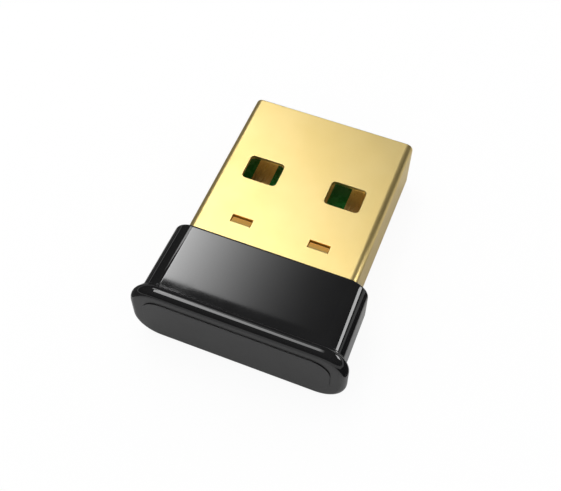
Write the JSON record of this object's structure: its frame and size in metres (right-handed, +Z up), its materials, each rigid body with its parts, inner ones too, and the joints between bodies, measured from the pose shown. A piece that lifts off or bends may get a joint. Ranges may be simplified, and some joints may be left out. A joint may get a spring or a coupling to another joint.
{
  "type": "usb bluetooth adapter",
  "caption": "Nano-size wireless adapter: a gold-plated USB-A plug in a short black end cap with a flared lip, with its circuit board and radio parts inside.",
  "frame": {"origin": "on the plug's axis, in the plane of the cap's front shoulder", "axes": "+Y along the plug towards its mouth, +Z up out of the side that the contacts face, +X to the right seen from the cap"},
  "size_m": [0.015, 0.0184, 0.0056],
  "materials": {
    "gold_plate": "bright gold plating over formed sheet",
    "cap_black": "gloss moulding with a matte end face",
    "board_green": "green solder mask",
    "carrier_black": "fine matte moulding",
    "contact_gold": "gold-plated copper",
    "package_black": "moulded package",
    "ceramic_tan": "fired ceramic with tinned ends",
    "resistor_black": "coated resistor with tinned ends",
    "ferrite_grey": "ferrite with tinned ends",
    "can_steel": "metal lid on a ceramic base",
    "solder_tin": "bright solder"
  },
  "bodies": {
    "root": {"plug_shell": "gold_plate", "rear_cap": "cap_black", "circuit_board": "board_green", "tongue_carrier": "carrier_black", "contact_vbus": "contact_gold", "contact_data_minus": "contact_gold", "contact_data_plus": "contact_gold", "contact_ground": "contact_gold", "bluetooth_chip": "package_black", "memory_chip": "package_black", "voltage_regulator": "package_black", "crystal": "can_steel", "crystal_capacitor_in": "ceramic_tan", "crystal_capacitor_out": "ceramic_tan", "supply_capacitor": "ceramic_tan", "core_capacitor": "ceramic_tan", "radio_capacitor": "ceramic_tan", "input_capacitor": "ceramic_tan", "antenna_capacitor": "ceramic_tan", "bias_resistor": "resistor_black", "reset_resistor": "resistor_black", "power_inductor": "ferrite_grey", "usb_ferrite": "ferrite_grey", "antenna_inductor": "ferrite_grey", "antenna_trace": "contact_gold", "shell_solder_left": "solder_tin", "shell_solder_right": "solder_tin"}
  },
  "joints": []
}
